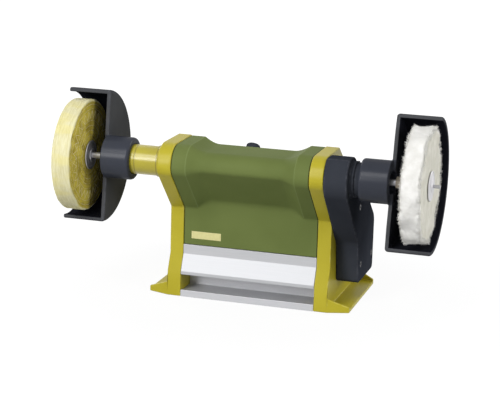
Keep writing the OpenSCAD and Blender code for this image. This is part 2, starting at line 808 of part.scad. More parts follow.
// Loop of the belt round both pulleys, at a distance g from their rims
function belt_loop(g) =
    let (c0 = [spindle_y, spindle_h], c1 = [motor_y, motor_h], r0 = pulley_d / 2 + g, r1 = motor_pulley_d / 2 + g,
         v = c1 - c0, a = atan2(v.y, v.x), q = acos((r0 - r1) / norm(v)))
    concat(arc(c0, r0, a + q, a + 360 - q, 36), arc(c1, r1, a - q, a + q, 24));

// Height of the belt's outer face on its front run, at depth y
function belt_front_z(y) =
    let (c0 = [spindle_y, spindle_h], c1 = [motor_y, motor_h], v = c1 - c0,
         a = atan2(v.y, v.x) - acos((pulley_d - motor_pulley_d) / 2 / norm(v)), n = [cos(a), sin(a)])
    (n * c0 + pulley_d / 2 + belt_gap + belt_t - n.x * y) / n.y;

module drive_belt() {
    color("black") difference() {
        along_x(belt_x + pulley_side / 2, belt_x + pulley_side / 2 + belt_w)
            polygon(belt_loop(belt_gap + belt_t));
        along_x(belt_x - 1, belt_x + belt_w + 2) polygon(belt_loop(belt_gap));
    }
}

// Motor
module motor_can() {
    color("silver") ring_x(motor_d / 2, motor_d / 2 - can_wall, can_x0, can_x1, motor_y, motor_h);
}

module motor_front_cap() {
    color("gray") difference() {
        rod_x(motor_d / 2, can_x1, x_in - seam, motor_y, motor_h);
        rod_x(motor_d / 2 - can_wall - cap_rim, can_x1 - 1, can_x1 + cap_hollow, motor_y, motor_h);
        rod_x(motor_bearing_od / 2 + seat_fit, can_x1, can_x1 + cap_hollow + motor_bearing_w, motor_y, motor_h);
        rod_x(motor_shaft_d / 2 + 1, can_x1, x_in + 1, motor_y, motor_h);
        for (s = [-1, 1])
            rod_x(screw_d / 2 + seat_fit, x_in - motor_screw_in - 1, x_in + 1, motor_y + s * motor_screw_y, motor_h);
    }
}

module motor_rear_cap() {
    color("gray") difference() {
        rod_x(motor_d / 2, can_x0 - rear_cap_len, can_x0, motor_y, motor_h);
        rod_x(motor_d / 2 - can_wall - cap_rim, can_x0 - rear_cap_len + motor_bearing_w + 1, can_x0 + 1,
              motor_y, motor_h);
        rod_x(motor_bearing_od / 2 + seat_fit, can_x0 - rear_cap_len + 1, can_x0, motor_y, motor_h);
        rod_x(motor_shaft_d / 2 + 1, can_x0 - rear_cap_len - 1, can_x0, motor_y, motor_h);
        for (s = [-1, 1]) translate([brush_x, motor_y + s * (motor_d / 2 - can_wall - cap_rim - 1), motor_h])
            rotate([-90 * s, 0, 0]) cylinder(r = brush_r + seat_fit, h = motor_d);
    }
}

module motor_front_bearing() {
    color("lightsteelblue") ring_x(motor_bearing_od / 2, motor_shaft_d / 2 + run_fit,
        can_x1 + cap_hollow, can_x1 + cap_hollow + motor_bearing_w - 0.1, motor_y, motor_h);
}

module motor_rear_bearing() {
    color("lightsteelblue") ring_x(motor_bearing_od / 2, motor_shaft_d / 2 + run_fit,
        can_x0 - rear_cap_len + 1, can_x0 - rear_cap_len + 1 + motor_bearing_w, motor_y, motor_h);
}

module motor_screws() {
    color("dimgray") for (s = [-1, 1])
        screw_x(x_out, motor_y + s * motor_screw_y, motor_h, screw_d, plate_t - screw_head_h + motor_screw_in,
                screw_head_d - 2 * screw_side, screw_head_h);
}

magnet_start = 12;
magnet_end = 8;
pole_gap = 8;
brush_r = 1.9;
brush_y = commutator_d / 2 + 0.4;
brush_x = can_x0 - rear_cap_len / 2 + 3;

module field_magnets() {
    r = motor_d / 2 - can_wall - seat_fit;
    color("darkgray") intersection() {
        ring_x(r, r - magnet_t, can_x0 + magnet_start, can_x1 - magnet_end, motor_y, motor_h);
        for (s = [-1, 1])
            translate([can_x0, motor_y - motor_d, motor_h + (s < 0 ? -motor_d - pole_gap : pole_gap)])
            cube([can_x1 - can_x0, 2 * motor_d, motor_d]);
    }
}

rotor_x0 = can_x0 + magnet_start + 2;
rotor_x1 = can_x1 - magnet_end - 2;
rotor_slots = 8;
slot_w = 2;
slot_depth = 5;
fan_x = can_x0 - rear_cap_len - fan_gap;
fan_r = motor_d / 2 - 5;
fan_hub_r = 7;
fan_plate_t = 1.2;
blades = 8;
blade_t = 1.2;

module motor_shaft() {
    color("silver")
        rod_x(motor_shaft_d / 2, fan_x - fan_w - shaft_tail, belt_x + belt_w + 3 * pulley_edge, motor_y, motor_h);
}

module armature() {
    color("peru") difference() {
        rod_x(rotor_d / 2, rotor_x0, rotor_x1, motor_y, motor_h);
        rod_x(motor_shaft_d / 2 + seat_fit, rotor_x0 - 1, rotor_x1 + 1, motor_y, motor_h);
        for (i = [0:rotor_slots - 1]) translate([rotor_x0 - 1, motor_y, motor_h])
            rotate([360 * i / rotor_slots, 0, 0]) translate([0, -slot_w / 2, rotor_d / 2 - slot_depth])
            cube([rotor_x1 - rotor_x0 + 2, slot_w, slot_depth + 3]);
    }
}

module commutator() {
    color("peru") ring_x(commutator_d / 2, motor_shaft_d / 2 + seat_fit, can_x0 - 1.5, rotor_x0 - 1,
                         motor_y, motor_h);
}

module cooling_fan() {
    color("black") difference() {
        union() {
            rod_x(fan_hub_r, fan_x - fan_w, fan_x, motor_y, motor_h);
            rod_x(fan_r, fan_x - fan_plate_t, fan_x, motor_y, motor_h);
            for (i = [0:blades - 1]) translate([fan_x - fan_w, motor_y, motor_h])
                rotate([360 * i / blades, 0, 0]) translate([0, -blade_t / 2, fan_hub_r - 1])
                cube([fan_w - fan_plate_t / 2, blade_t, fan_r - fan_hub_r + 0.5]);
        }
        rod_x(motor_shaft_d / 2 + seat_fit, fan_x - fan_w - 1, fan_x + 1, motor_y, motor_h);
    }
}

module brush_holders() {
    color("peru") for (s = [-1, 1]) translate([brush_x, motor_y + s * brush_y, motor_h])
        rotate([-90 * s, 0, 0]) cylinder(r = brush_r, h = motor_d / 2 - brush_y + 0.4);
}

// Speed control board on posts inside the left plate
board_screw_in = 5;
board_edge = 4;
post_r = 3;
board_holes = [for (i = [0, 1], j = [0, 1])
    [board_y0 + board_edge + i * (board_size.x - 2 * board_edge),
     board_z0 + board_edge + j * (board_size.y - 2 * board_edge)]];

// Blocks as Y, Z, height over the board, width and depth, and cans as Y, Z, radius and height
board_blocks = [[10, 10, 7, 12, 10], [25, 12, 1.6, 16, 14], [10, 2, 5, 14, 5]];
board_cans = [[15, 28, 3.5, 8], [24, 28, 2.5, 6]];

module board_posts() {
    for (p = board_holes) rod_x(post_r, -x_in - 0.01, board_x, p.x, p.y);
}

module control_board() {
    color("darkgreen") difference() {
        translate([board_x, board_y0, board_z0]) cube([board_t, board_size.x, board_size.y]);
        for (p = board_holes)
            rod_x(board_screw_d / 2 + loose / 2, board_x - 1, board_x + board_t + 1, p.x, p.y);
    }
}

module board_screws() {
    color("silver") for (p = board_holes) {
        rod_x(board_screw_d, board_x + board_t, board_x + board_t + 1.4, p.x, p.y);
        rod_x(board_screw_d / 2, board_x - board_screw_in, board_x + board_t + 0.01, p.x, p.y);
    }
}

module board_parts() {
    x = board_x + board_t;
    color("dimgray") {
        for (b = board_blocks) translate([x, board_y0 + b[0], board_z0 + b[1]]) cube([b[2], b[3], b[4]]);
        for (c = board_cans) rod_x(c[2], x, x + c[3], board_y0 + c[0], board_z0 + c[1]);
    }
}

// Speed knob with its potentiometer, on the sloping back
knob_lift = 0.6;
pot_depth = 9;
pot_d = 16;
pot_nut_h = 2;
pot_bush_h = 3;
knob_draft = 1;
knob_chamfer = 1;
knob_shell = 1.3;
knob_hollow = 3;
rib_r = 0.7;
ribs = 18;

module speed_pot() {
    color("gray") on_panel(-knob_x, knob_down) difference() {
        union() {
            translate([0, 0, -shell_wall - pot_depth - 0.1]) cylinder(d = pot_d, h = pot_depth);
            translate([0, 0, -shell_wall - 0.2]) cylinder(d = pot_bush_d, h = shell_wall + pot_bush_h);
        }
        translate([0, 0, -shell_wall - pot_depth + 1])
            cylinder(r = pot_shaft_d / 2 + run_fit, h = pot_depth + shell_wall + pot_bush_h);
    }
}

module pot_nut() {
    color("silver") on_panel(-knob_x, knob_down) difference() {
        cylinder(r = pot_bush_d / 2 + 2.3, h = pot_nut_h, $fn = 6);
        translate([0, 0, -1]) cylinder(r = pot_bush_d / 2 + seat_fit, h = pot_nut_h + 2);
    }
}

module pot_shaft() {
    color("silver") on_panel(-knob_x, knob_down, -shell_wall - pot_depth + 1.5)
        cylinder(d = pot_shaft_d, h = shell_wall + pot_depth + knob_h - 3.5);
}

module speed_knob() {
    r = knob_d / 2;
    color("black") on_panel(-knob_x, knob_down, knob_lift) difference() {
        union() {
            cylinder(r1 = r, r2 = r - knob_draft, h = knob_h - knob_chamfer);
            translate([0, 0, knob_h - knob_chamfer])
                cylinder(r1 = r - knob_draft, r2 = r - knob_draft - 0.7 * knob_chamfer, h = knob_chamfer);
        }
        translate([0, 0, -1]) cylinder(r = r - knob_shell, h = knob_hollow + 1);
        translate([0, 0, -1]) cylinder(r = pot_shaft_d / 2 + seat_fit, h = knob_h - 1);
        for (i = [0:ribs - 1]) rotate([0, 0, 360 * i / ribs + 10]) translate([r + 0.1, 0, knob_hollow])
            cylinder(r = rib_r, h = knob_h, $fn = 16);
        translate([-0.5, 1.5, knob_h - 0.5]) cube([1, knob_d, 2]);
    }
}

// Rocker switch on the sloping back
switch_wall = 1.2;
switch_w = rocker_w + 2 * switch_wall;
switch_len = rocker_len + 2 * switch_wall;
switch_depth = 13;
switch_pocket = 8;
bezel_w = 1.2;
bezel_t = 1.5;
pin_r = 1;
pin_len = 0.8;
pin_z = -1;

module switch_body() {
    color("black") on_panel(rocker_x, rocker_down) difference() {
        union() {
            translate([-switch_w / 2, -switch_len / 2, -switch_depth])
                cube([switch_w, switch_len, switch_depth + 0.5]);
            translate([-switch_w / 2 - bezel_w, -switch_len / 2 - bezel_w, 0.05])
                cube([switch_w + 2 * bezel_w, switch_len + 2 * bezel_w, bezel_t]);
        }
        translate([-rocker_w / 2 - loose, -rocker_len / 2 - loose - 0.2, -switch_pocket])
            cube([rocker_w + 2 * loose, rocker_len + 2 * loose + 0.4, switch_pocket + bezel_t + 1]);
        translate([-rocker_w / 2 - pin_len - 0.1, 0, pin_z]) rotate([0, 90, 0])
            cylinder(r = pin_r + run_fit, h = rocker_w + 2 * pin_len + 0.2);
    }
}

// The rocker's upper face is a shallow V, and its sides are arcs about the pin
module switch_rocker() {
    reach = rocker_len / 2;
    crown = 4.6;
    dip = 1.2;
    keel = 3;
    color("darkseagreen") on_panel(rocker_x, rocker_down) translate([0, 0, pin_z])
        rotate([-rocker_throw / 2, 0, 0]) {
            intersection() {
                rotate([90, 0, 90]) translate([0, 0, -rocker_w / 2]) linear_extrude(rocker_w)
                    polygon([[-reach, crown], [0, crown - dip], [reach, crown], [reach, 0],
                             [0.4 * reach, -keel], [-0.4 * reach, -keel], [-reach, 0]]);
                translate([-rocker_w, 0, 0]) rotate([0, 90, 0]) cylinder(r = reach, h = 2 * rocker_w);
            }
            translate([-rocker_w / 2 - pin_len, 0, 0]) rotate([0, 90, 0])
                cylinder(r = pin_r, h = rocker_w + 2 * pin_len);
        }
}

// Inlet for the supply, low on the back
gland_collar = 2;
gland_nose = 6;
gland_nut = 3.3;

module cable_gland() {
    color("black") translate([gland_x, y_rear - bell_drop, gland_z]) rotate([-90, 0, 0]) difference() {
        union() {
            translate([0, 0, -shell_wall - 2]) cylinder(d = gland_d, h = shell_wall + 3);
            translate([0, 0, 0.05]) cylinder(d = gland_d + 4, h = gland_collar);
            translate([0, 0, gland_collar]) cylinder(d1 = gland_d + 1, d2 = gland_d - 2, h = gland_nose);
            translate([0, 0, -shell_wall - gland_nut - 0.2]) cylinder(d = gland_d + 3, h = gland_nut);
        }
        translate([0, 0, -shell_wall - gland_nut - 1])
            cylinder(d = gland_bore, h = shell_wall + gland_nut + gland_collar + gland_nose + 2);
    }
}

base_profile();
left_end_plate();
right_end_plate();
housing_shell();
rear_cover();
blank_badge();
belt_guard();
guard_screws();
plate_screws();
tie_rods();
tie_rod_screws();
left_hood();
right_hood();
left_hood_clamp();
right_hood_clamp();
spindle();
left_spindle_bearing();
right_spindle_bearing();
left_bearing_keeper();
right_bearing_keeper();
spindle_pulley();
motor_pulley();
drive_belt();
left_buff_wheel();
right_buff_wheel();
left_inner_flange();
left_outer_flange();
right_inner_flange();
right_outer_flange();
left_outer_nut();
right_inner_nut();
motor_can();
motor_front_cap();
motor_rear_cap();
motor_front_bearing();
motor_rear_bearing();
motor_screws();
field_magnets();
motor_shaft();
armature();
commutator();
cooling_fan();
brush_holders();
control_board();
board_parts();
board_screws();
speed_pot();
pot_nut();
pot_shaft();
speed_knob();
switch_body();
switch_rocker();
cable_gland();
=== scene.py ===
"""Looks of a small bench polishing machine: a spindle with a buffing wheel and a hood at each end.
Lengths are metres. X runs along the spindle, -Y is the operator's side and Z is up."""
import json
import math
import random

import bmesh
import bpy
from mathutils import Matrix, Quaternion, Vector, noise


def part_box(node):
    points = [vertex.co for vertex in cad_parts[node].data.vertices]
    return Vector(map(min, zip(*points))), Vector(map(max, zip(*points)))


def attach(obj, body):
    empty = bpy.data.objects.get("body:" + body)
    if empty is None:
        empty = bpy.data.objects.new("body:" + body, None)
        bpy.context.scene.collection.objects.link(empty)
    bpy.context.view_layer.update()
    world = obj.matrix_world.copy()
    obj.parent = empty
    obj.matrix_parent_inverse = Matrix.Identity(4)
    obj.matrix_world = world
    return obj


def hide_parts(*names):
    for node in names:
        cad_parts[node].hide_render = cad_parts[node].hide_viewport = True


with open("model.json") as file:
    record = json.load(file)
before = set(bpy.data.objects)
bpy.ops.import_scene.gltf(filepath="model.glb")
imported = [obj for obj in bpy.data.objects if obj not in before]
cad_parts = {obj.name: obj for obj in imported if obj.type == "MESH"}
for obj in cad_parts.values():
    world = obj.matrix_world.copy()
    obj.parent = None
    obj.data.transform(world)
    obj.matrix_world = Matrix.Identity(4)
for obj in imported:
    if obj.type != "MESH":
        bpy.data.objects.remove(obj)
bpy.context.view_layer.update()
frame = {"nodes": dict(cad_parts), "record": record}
mm = 0.001
scene = bpy.context.scene
scene.view_settings.view_transform = "Standard"

# Places that the looks need, from the part's own sizes
SPINDLE = Vector((0, -67, 126.5)) * mm
WHEEL_IN, WHEEL_OUT = 146.5 * mm, 163.5 * mm
WHEEL_MIDDLE, WHEEL_HALF = (WHEEL_IN + WHEEL_OUT) / 2, (WHEEL_OUT - WHEEL_IN) / 2
WHEEL_R, WHEEL_BORE = 50 * mm, 4 * mm
HOOD_IN = 129.2 * mm
HOOD_WALL, HOOD_R = 3.6 * mm, 59.5 * mm
COLLAR_R = 19.3 * mm
CHANNEL_TOP, SLOPE_TOP = 20.8 * mm, 38.9 * mm
NECK_START, NECK_R = 75 * mm, 14.6 * mm
NECK_LINES = (79.2 * mm, 99.9 * mm)
X_AXIS = Vector((1, 0, 0))
shell_low, shell_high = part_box("housing_shell")
shell_end, shell_foot = shell_high[0], shell_low[2]


def tone(red, green, blue):
    """A colour as the eye reads it, 0 to 255, in Blender's linear light."""
    def linear(value):
        value /= 255
        return value / 12.92 if value <= 0.04045 else ((value + 0.055) / 1.055) ** 2.4
    return (linear(red), linear(green), linear(blue), 1)


class Amount:
    """A number that varies over a surface and takes part in plain sums."""

    def __init__(self, finish, socket):
        self.finish = finish
        self.socket = socket

    def math(self, operation, first, second):
        return self.finish.node("Math", {"operation": operation}, [first, second])

    def __add__(self, other):
        return self.math("ADD", self, other)

    def __sub__(self, other):
        return self.math("SUBTRACT", self, other)

    def __rsub__(self, other):
        return self.math("SUBTRACT", other, self)

    def __mul__(self, other):
        return self.math("MULTIPLY", self, other)

    __radd__ = __add__
    __rmul__ = __mul__


class Finish:
    """One material, built up from its nodes."""

    def __init__(self, name, metallic=0.0, sheen=0.0):
        self.material = bpy.data.materials.new(name)
        self.material.use_nodes = True
        self.tree = self.material.node_tree
        self.shader = self.tree.nodes["Principled BSDF"]
        self.set("Metallic", metallic)
        self.set("Coat Roughness", 0.25)
        self.set("Sheen Weight", sheen)
        self.place = self.node("TexCoord", output="Object")

    def node(self, kind, settings=None, inputs=(), output=0):
        """Adds a node with its settings, then its sockets' values or links."""
        made = self.tree.nodes.new("ShaderNode" + kind)
        for name, value in (settings or {}).items():
            setattr(made, name, value)
        for name, value in inputs.items() if isinstance(inputs, dict) else enumerate(inputs):
            self.fill(made.inputs[name], value)
        return Amount(self, made.outputs[output])

    def fill(self, socket, value):
        if isinstance(value, Amount):
            self.tree.links.new(value.socket, socket)
        else:
            socket.default_value = value

    def set(self, name, value):
        self.fill(self.shader.inputs[name], value)

    def spots(self, size, detail, stretch=(1, 1, 1)):
        """Soft noise from 0 to 1 whose lumps are about size metres across."""
        place = self.node("Mapping", None, {"Vector": self.place, "Scale": stretch})
        return self.node("TexNoise", None, {"Vector": place, "Scale": 1 / size, "Detail": detail})

    def step(self, value, low, high):
        """Turns a value into a smooth step from 0 at low to 1 at high."""
        return self.node("MapRange", {"interpolation_type": "SMOOTHSTEP"},
                         {"Value": value, "From Min": low, "From Max": high})

    def blend(self, share, first, second):
        """Mixes two colours, and gives the second where share is 1."""
        return self.node("Mix", {"data_type": "RGBA"}, {0: share, 6: first, 7: second}, 2)

    def mark(self, name):
        """A number that the piece's mesh carries under that name."""
        return self.node("Attribute", {"attribute_name": name}, output="Fac")

    def size(self, value):
        """A number without its sign."""
        return self.node("Math", {"operation": "ABSOLUTE"}, [value])

    def along(self):
        """Distance from the middle, along the spindle."""
        return self.size(self.node("SeparateXYZ", None, [self.place]))

    def height(self):
        """Height above the bench."""
        return self.node("SeparateXYZ", None, [self.place], "Z")

    def radius(self):
        """Distance from the spindle's axis."""
        flat = self.node("Mapping", None,
                         {"Vector": self.place, "Location": (0, -SPINDLE.y, -SPINDLE.z), "Scale": (0, 1, 1)})
        return self.node("VectorMath", {"operation": "LENGTH"}, [flat], "Value")

    def bump(self, height, depth, strength):
        """Relief in the shading, so many metres deep."""
        inputs = {"Height": height, "Distance": depth, "Strength": strength}
        self.set("Normal", self.node("Bump", None, inputs))

    def paint(self, colour, rough):
        self.set("Base Color", colour)
        self.set("Roughness", rough)


def painted_casting():
    """Yellow-green paint on the die-cast end plates, rubbed thin along the edges. The neck is glossy, with
    two rings of painted shade round it, beside its beads."""
    f = Finish("painted_casting")
    cloud = f.spots(45 * mm, 2)
    grain = f.spots(0.9 * mm, 2)
    rub = f.mark("edge") * f.step(f.spots(6 * mm, 4), 0.45, 0.7)
    colour = f.blend(f.step(cloud, 0.3, 0.7), tone(172, 160, 38), tone(179, 167, 46))
    colour = f.blend(f.step(grain, 0.45, 0.8) * 0.25, colour, tone(190, 178, 56))
    colour = f.blend(rub * 0.5, colour, tone(206, 197, 104))
    f.set("Specular IOR Level", 0.12)
    neck = ((1 - f.step(f.radius(), NECK_R, NECK_R + 0.3 * mm))
            * f.step(f.along(), NECK_START, NECK_START + 0.4 * mm))
    f.set("Coat Weight", neck * 0.8 + 0.15)
    # Painted shade: two dark rings on the neck, beside the turned beads, for the shade at them.
    for x in NECK_LINES:
        bead_shade = 1 - f.step(f.size(f.along() - x), 0.3 * mm, 0.8 * mm)
        colour = f.blend(bead_shade * neck * 0.6, colour, tone(112, 100, 14))
    f.paint(colour, f.step(cloud + grain, 0.4, 1.7) * 0.2 + 0.33)
    f.bump(grain, 0.05 * mm, 0.5)
    return f.material


def moulded_green():
    """Spark-eroded green plastic of the housing, with painted shade in the narrow joints along its rim."""
    f = Finish("moulded_green")
    f.set("Specular IOR Level", 0.03)
    grain = f.spots(0.45 * mm, 3)
    cloud = f.spots(40 * mm, 2)
    colour = f.blend(f.step(cloud, 0.3, 0.7), tone(100, 112, 62), tone(105, 117, 66))
    colour = f.blend(f.step(grain, 0.5, 0.9) * 0.3, colour, tone(114, 127, 78))
    colour = f.blend(f.mark("edge") * 0.3, colour, tone(134, 148, 98))
    # Painted shade: the shell's last bit at each end and along its foot is painted near black, for the shadow
    # in the narrow gaps beside the end plates and the base.
    end = f.step(f.along(), shell_end - 0.9 * mm, shell_end - 0.5 * mm)
    foot = 1 - f.step(f.height(), shell_foot + 0.2 * mm, shell_foot + 0.8 * mm)
    for seam_shade in (end * 0.75, foot * 0.8):
        colour = f.blend(seam_shade, colour, tone(34, 36, 22))
    f.paint(colour, grain * 0.2 + 0.42)
    f.bump(grain, 0.05 * mm, 0.6)
    return f.material


def anodised_extrusion():
    """Satin aluminium with the fine draw lines of its extrusion along X. Above its channel it is less
    metallic and painted a darker grey as painted shade, most on the incline.
    """
    f = Finish("anodised_extrusion")
    lines = f.spots(0.35 * mm, 2, (0.01, 1, 1))
    bloom = f.spots(30 * mm, 2, (0.4, 1, 1))
    colour = f.blend(f.step(lines, 0.3, 0.75), tone(184, 185, 188), tone(192, 192, 195))
    colour = f.blend(f.step(bloom, 0.5, 0.8) * 0.2, colour, tone(180, 182, 187))
    # Painted shade: the faces above the channel are painted a darker grey, the incline most and the band
    # above it less.
    band = f.step(f.height(), SLOPE_TOP - 0.2 * mm, SLOPE_TOP + 0.2 * mm)
    upper = f.step(f.height(), CHANNEL_TOP - 1.0 * mm, CHANNEL_TOP)
    f.set("Metallic", 0.55 - upper * 0.31)
    f.paint(f.blend(upper * 0.3 - band * 0.2, colour, tone(158, 160, 164)), lines * 0.08 + 0.44)
    f.bump(lines, 0.006 * mm, 0.3)
    return f.material


def black_moulding(name="black_moulding", low=(51, 54, 61), high=(57, 60, 67), hollow=False):
    """Black plastic with a fine eroded grain, paler where edges are handled. With hollow it has a hood's
    glossier collar, and its cup is painted near black as painted shade."""
    f = Finish(name)
    f.set("Specular IOR Level", 0.0)
    grain = f.spots(0.35 * mm, 3)
    cloud = f.spots(40 * mm, 2)
    colour = f.blend(f.step(cloud, 0.3, 0.7), tone(*low), tone(*high))
    colour = f.blend(f.step(grain, 0.5, 0.85) * 0.35, colour, tone(72, 74, 82))
    rub = f.mark("edge") * f.step(f.spots(5 * mm, 3), 0.35, 0.75)
    colour = f.blend(rub * 0.4, colour, tone(96, 98, 105))
    if hollow:
        disc = f.step(f.radius(), COLLAR_R, COLLAR_R + 0.5 * mm)
        colour = f.blend(disc, f.blend(grain, tone(48, 51, 59), tone(60, 63, 73)), colour)
        f.set("Coat Weight", (1 - disc) * 0.25)
        # Painted shade: the hood's inner wall and disc are painted near black for the shade within its cup.
        depth, width = HOOD_IN + HOOD_WALL, HOOD_R - HOOD_WALL
        hood_cup_shade = (f.step(f.along(), depth - 0.4 * mm, depth - 0.1 * mm)
                  * (1 - f.step(f.radius(), width + 0.1 * mm, width + 0.4 * mm)))
        colour = f.blend(hood_cup_shade, colour, f.blend(grain, tone(26, 27, 33), tone(34, 35, 42)))
    f.paint(colour, grain * 0.2 + 0.4)
    f.bump(grain, 0.05 * mm, 0.55)
    return f.material


def turned_steel(name, low, high, rough, lap=0.25, metallic=0.8):
    """Bright steel with fine rings about the spindle's direction."""
    f = Finish(name, metallic=metallic)
    rings = f.spots(lap * mm, 2, (1, 0.05, 0.05))
    smear = f.spots(7 * mm, 3)
    colour = f.blend(smear, tone(*low), tone(*high))
    f.paint(colour, rings * 0.16 + rough)
    f.bump(rings, 0.015 * mm, 0.5)
    return f.material


def speckled(name, low, high, size, rough, metallic=0.0):
    """A plain finish with a grain: castings, rubber, black oxide, board."""
    f = Finish(name, metallic=metallic)
    grain = f.spots(size, 4)
    f.paint(f.blend(grain, tone(*low), tone(*high)), grain * 0.2 + rough)
    f.bump(grain, 0.04 * mm, 0.6)
    return f.material


def treated_cotton():
    """Stiffened yellow cotton: pale cut edges on the rim, ochre faces with painted highlight on the swells
    between the sewn rings.
    """
    f = Finish("treated_cotton", sheen=0.1)
    rim = f.mark("rim")
    swell_highlight = f.mark("swell_highlight")
    weave = f.spots(0.5 * mm, 2)
    layers = f.spots(1.0 * mm, 3, (1, 0.1, 0.1))
    patches = f.spots(9 * mm, 3, (0.25, 1, 1))
    cloud = f.spots(12 * mm, 4)
    face = f.blend(f.step(cloud, 0.35, 0.65), tone(152, 132, 22), tone(200, 182, 56))
    # Painted highlight: paler ochre where the face swells.
    face = f.blend(swell_highlight * 0.7, face, tone(206, 190, 78))
    edge = f.blend(f.step(layers, 0.3, 0.7), tone(212, 205, 156), tone(229, 224, 186))
    edge = f.blend(f.step(patches, 0.42, 0.62) * 0.5, edge, tone(226, 216, 140))
    f.paint(f.blend(rim, face, edge), weave * 0.15 + 0.8)
    f.bump(weave + layers * rim, 0.25 * mm, 0.6)
    return f.material


def loose_cotton():
    """Washed white cotton with a soft nap."""
    f = Finish("loose_cotton", sheen=0.15)
    rim = f.mark("rim")
    nap = f.spots(0.7 * mm, 4)
    cloud = f.spots(8 * mm, 3)
    face = f.blend(f.step(cloud, 0.3, 0.75), tone(212, 210, 195), tone(230, 228, 216))
    edge = f.blend(f.step(cloud, 0.3, 0.75), tone(222, 221, 216), tone(236, 235, 232))
    f.paint(f.blend(rim, face, edge), nap * 0.1 + 0.86)
    f.bump(nap, 0.35 * mm, 0.5)
    return f.material


def sewing_thread():
    """Pale twisted yarn."""
    f = Finish("sewing_thread", sheen=0.2)
    twist = f.spots(0.35 * mm, 2)
    f.paint(f.blend(twist, tone(222, 212, 150), tone(238, 230, 184)), twist * 0.1 + 0.82)
    return f.material


FINISHES = {
    "aluminium": anodised_extrusion(),
    "end_plate": painted_casting(),
    "housing": moulded_green(),
    "badge": speckled("plain_plate", (196, 190, 128), (214, 208, 150), 2 * mm, 0.35, 0.2),
    "black_plastic": black_moulding(),
    "dark_screw": speckled("black_oxide", (34, 34, 36), (52, 52, 54), 1.2 * mm, 0.4, 0.7),
    "steel": turned_steel("ground_steel", (168, 168, 172), (196, 196, 200), 0.24),
    "plated_steel": turned_steel("zinc_plate", (188, 187, 190), (210, 209, 211), 0.3, 0.6, 0.65),
    "belt_rubber": speckled("belt_rubber", (24, 24, 25), (38, 38, 39), 0.8 * mm, 0.65),
    "treated_cotton": treated_cotton(),
    "white_cotton": loose_cotton(),
    "cast_alloy": speckled("cast_alloy", (120, 121, 124), (150, 151, 154), 1.5 * mm, 0.5, 0.6),
    "magnet": speckled("sintered_magnet", (52, 52, 56), (70, 70, 74), 0.6 * mm, 0.6, 0.2),
    "copper": speckled("enamelled_copper", (150, 84, 44), (184, 108, 62), 0.9 * mm, 0.35, 0.8),
    "board": speckled("lacquered_board", (22, 74, 40), (34, 98, 56), 1.6 * mm, 0.3),
    "rocker": speckled("rocker_plastic", (176, 186, 168), (190, 199, 182), 0.6 * mm, 0.35),
}
hood_black = black_moulding("hood_black", (70, 71, 74), (78, 79, 82), True)
nut_steel = turned_steel("nut_steel", (112, 104, 92), (150, 142, 128), 0.34, 0.6, 0.7)
OWN_FINISH = {"left_outer_nut": nut_steel, "right_inner_nut": nut_steel}
SLOT_OF = {row["node"]: row["material_slot"] for row in frame["record"]["subparts"]}
BODIES = frame["record"]["behaviour"]["bodies"]
BODY_OF = {node: body for body, nodes in BODIES.items() for node in nodes}


def dress(piece, material, angle=38):
    """Gives a piece one finish and shades its gentle bends smooth."""
    piece.data.materials.clear()
    piece.data.materials.append(material)
    piece.data.shade_smooth()
    piece.data.set_sharp_from_angle(angle=math.radians(angle))


def finished(bm, name, body, slot, stands_for=(), material=None, angle=38):
    """Makes an object of a mesh, with its finish, and lets it ride on a body. Normals that came with a
    CAD node's mesh no longer fit the new faces, so they go."""
    mesh = bpy.data.meshes.new(name)
    bm.to_mesh(mesh)
    bm.free()
    stale = mesh.attributes.get("custom_normal")
    if stale:
        mesh.attributes.remove(stale)
    piece = bpy.data.objects.new(name, mesh)
    scene.collection.objects.link(piece)
    dress(piece, material or FINISHES[slot], angle)
    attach(piece, body)
    if stands_for:
        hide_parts(*stands_for)
    return piece


def about_spindle(vert):
    """Radius and angle of a point about the spindle."""
    y, z = vert.co.y - SPINDLE.y, vert.co.z - SPINDLE.z
    return math.hypot(y, z), math.atan2(z, y)


def point(x, radius, angle):
    """The point at a place along the spindle, with a radius and an angle about it."""
    return Vector((x, SPINDLE.y + radius * math.cos(angle), SPINDLE.z + radius * math.sin(angle)))


def heading(angle):
    """Where an angle lies on a circle of radius 1, for the noise."""
    return Vector((math.cos(angle), math.sin(angle), 0))


def ripple(spin, scale, depth):
    """Smooth noise from -1 to 1 around the spindle. Another depth gives other noise."""
    return noise.noise(spin * scale + Vector((0, 0, depth)))


def held(value, low=0, high=1):
    """The value, but not outside low to high."""
    return max(low, min(high, value))


def rod(bm, first, last, radius, tip, segments, capped):
    """A thin round rod from one point to another."""
    way = last - first
    turn = way.to_track_quat("Z", "X").to_matrix().to_4x4()
    verts = bmesh.ops.create_cone(bm, cap_ends=capped, segments=segments, radius1=radius, radius2=tip,
                                  depth=way.length)["verts"]
    bmesh.ops.transform(bm, verts=verts, matrix=Matrix.Translation((first + last) / 2) @ turn)


def turned_mesh(profile, steps, cuts=2):
    """Spins a profile of (X, radius) points about the spindle, then cuts each step finer."""
    bm = bmesh.new()
    points = [bm.verts.new((x, SPINDLE.y, SPINDLE.z + r)) for x, r in profile]
    edges = [bm.edges.new(pair) for pair in zip(points, points[1:])]
    bmesh.ops.spin(bm, geom=points + edges, cent=SPINDLE, axis=X_AXIS, angle=math.tau, steps=steps,
                   use_merge=True)
    same = 0.001 * mm
    if cuts:
        around = [e for e in bm.edges if abs(e.verts[0].co.x - e.verts[1].co.x) < same
                  and abs(about_spindle(e.verts[0])[0] - about_spindle(e.verts[1])[0]) < same]
        bmesh.ops.subdivide_edges(bm, edges=around, cuts=cuts, use_grid_fill=True)
    bmesh.ops.remove_doubles(bm, verts=bm.verts, dist=same)
    bmesh.ops.recalc_face_normals(bm, faces=bm.faces)
    return bm


